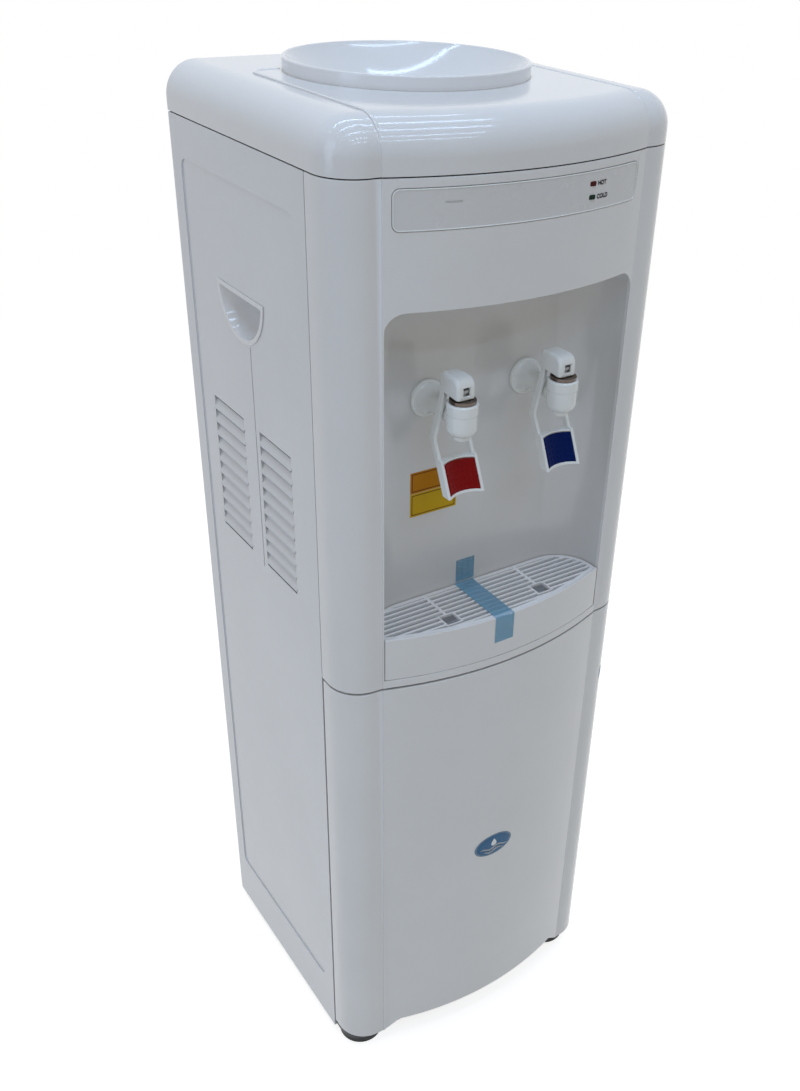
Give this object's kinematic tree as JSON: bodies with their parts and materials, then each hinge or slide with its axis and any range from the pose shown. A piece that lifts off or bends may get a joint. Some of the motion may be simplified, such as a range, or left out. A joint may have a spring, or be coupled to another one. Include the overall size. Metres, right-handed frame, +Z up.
{
  "type": "water dispenser",
  "caption": "Floor-standing water dispenser: dished collar for an upturned bottle, hot and cold lever taps in an alcove, drip tray and a storage cupboard behind a bowed door.",
  "frame": {"origin": "on the floor, below the middle of the overall box", "axes": "+X to the right as one faces the taps, +Y to the back, +Z up"},
  "size_m": [0.31, 0.312, 0.964],
  "materials": {
    "white_shell": "glossy white moulded plastic",
    "tap_white": "glossy white plastic, food grade",
    "white_grille": "satin white plastic",
    "white_liner": "matt white vacuum-formed sheet",
    "rear_sheet": "light grey painted sheet",
    "zinc_sheet": "galvanised sheet",
    "strip_plastic": "smooth white indicator strip",
    "circuit_board": "green circuit board",
    "red_lens": "red lamp lens",
    "green_lens": "dark green lamp lens",
    "seal_rubber": "pale grey seal",
    "foot_rubber": "black rubber",
    "stainless_steel": "brushed stainless steel",
    "foam": "white foam",
    "aluminium": "extruded aluminium",
    "ceramic": "white ceramic",
    "black_plastic": "matt black plastic",
    "silicone_tube": "translucent silicone",
    "red_plastic": "red rocker",
    "green_plastic": "green rocker",
    "pin_steel": "bright steel",
    "ring_steel": "dark polished steel",
    "red_pad": "red dimpled pad",
    "blue_pad": "blue dimpled pad"
  },
  "bodies": {
    "cabinet": {"base_plate": "black_plastic", "feet": "foot_rubber", "left_side_panel": "white_shell", "right_side_panel": "white_shell", "left_handle_cup": "white_shell", "right_handle_cup": "white_shell", "rear_panel": "rear_sheet", "deck_plate": "zinc_sheet", "front_panel": "white_shell", "tap_alcove": "white_shell", "indicator_strip": "strip_plastic", "indicator_board": "circuit_board", "hot_lamp": "red_lens", "cold_lamp": "green_lens", "top_cover": "white_shell", "neck_seal": "seal_rubber", "cold_tank": "stainless_steel", "cold_tank_insulation": "foam", "cold_conductor": "aluminium", "peltier_module": "ceramic", "heat_sink": "aluminium", "fan_frame": "black_plastic", "hot_tank": "stainless_steel", "hot_tank_jacket": "foam", "heater_band": "stainless_steel", "hot_thermostat": "black_plastic", "feed_tube": "silicone_tube", "cold_tube": "silicone_tube", "hot_tube": "silicone_tube", "drain_tube": "silicone_tube", "power_supply": "zinc_sheet", "switch_plate": "black_plastic", "cord_gland": "black_plastic", "drain_valve": "black_plastic", "cabinet_liner": "white_liner", "upper_hinge_pin": "pin_steel", "lower_hinge_pin": "pin_steel", "hot_tap_body": "tap_white", "hot_tap_nut": "tap_white", "hot_tap_ring": "ring_steel", "cold_tap_body": "tap_white", "cold_tap_nut": "tap_white", "cold_tap_ring": "ring_steel"},
    "door": {"door_shell": "white_shell", "door_liner": "white_liner", "door_gasket": "seal_rubber"},
    "tray": {"drip_tray": "white_shell"},
    "grille": {"drip_grille": "white_grille"},
    "collar": {"bottle_collar": "white_shell"},
    "fan": {"fan_rotor": "black_plastic"},
    "hot_lever": {"hot_tap_lever": "tap_white", "hot_tap_pad": "red_pad"},
    "hot_plunger": {"hot_tap_plunger": "silicone_tube"},
    "cold_lever": {"cold_tap_lever": "tap_white", "cold_tap_pad": "blue_pad"},
    "cold_plunger": {"cold_tap_plunger": "silicone_tube"},
    "hot_rocker": {"hot_switch": "red_plastic"},
    "cold_rocker": {"cold_switch": "green_plastic"},
    "drain_plug": {"drain_cap": "black_plastic"}
  },
  "joints": [
    {"name": "door_swing", "type": "hinge", "parent": "cabinet", "child": "door", "pos_m": [-0.148, -0.1002, 0.255], "axis": [0, 0, -1], "range_deg": [0, 95]},
    {"name": "tray_slide", "type": "slide", "parent": "cabinet", "child": "tray", "axis": [0, -1, 0], "range_m": [0, 0.1]},
    {"name": "grille_lift", "type": "slide", "parent": "tray", "child": "grille", "axis": [0, 0, 1], "range_m": [0, 0.05]},
    {"name": "collar_lift", "type": "slide", "parent": "cabinet", "child": "collar", "axis": [0, 0, 1], "range_m": [0, 0.1]},
    {"name": "fan_spin", "type": "hinge", "parent": "cabinet", "child": "fan", "pos_m": [0, 0.13, 0.82], "axis": [0, 1, 0], "continuous": true},
    {"name": "hot_lever_press", "type": "hinge", "parent": "cabinet", "child": "hot_lever", "pos_m": [-0.0495, -0.1448, 0.7466], "axis": [1, 0, 0], "range_deg": [0, 12.3], "stiffness_Nm_per_rad": 0.8, "springref_deg": -8.59},
    {"name": "hot_plunger_lift", "type": "slide", "parent": "cabinet", "child": "hot_plunger", "axis": [0, 0, 1], "range_m": [0, 0.00147]},
    {"name": "cold_lever_press", "type": "hinge", "parent": "cabinet", "child": "cold_lever", "pos_m": [0.0495, -0.1448, 0.7466], "axis": [1, 0, 0], "range_deg": [0, 12.3], "stiffness_Nm_per_rad": 0.8, "springref_deg": -8.59},
    {"name": "cold_plunger_lift", "type": "slide", "parent": "cabinet", "child": "cold_plunger", "axis": [0, 0, 1], "range_m": [0, 0.00147]},
    {"name": "hot_rocker_tip", "type": "hinge", "parent": "cabinet", "child": "hot_rocker", "pos_m": [0.083, 0.146, 0.6], "axis": [-1, 0, 0], "range_deg": [0, 14]},
    {"name": "cold_rocker_tip", "type": "hinge", "parent": "cabinet", "child": "cold_rocker", "pos_m": [0.109, 0.146, 0.6], "axis": [-1, 0, 0], "range_deg": [0, 14]},
    {"name": "drain_cap_pull", "type": "slide", "parent": "cabinet", "child": "drain_plug", "axis": [0, 1, 0], "range_m": [0, 0.03]}
  ],
  "couplings": [
    {"joint": "hot_lever_press", "follows": "hot_plunger_lift", "rad_per_m": 142.8},
    {"joint": "cold_lever_press", "follows": "cold_plunger_lift", "rad_per_m": 142.8}
  ]
}
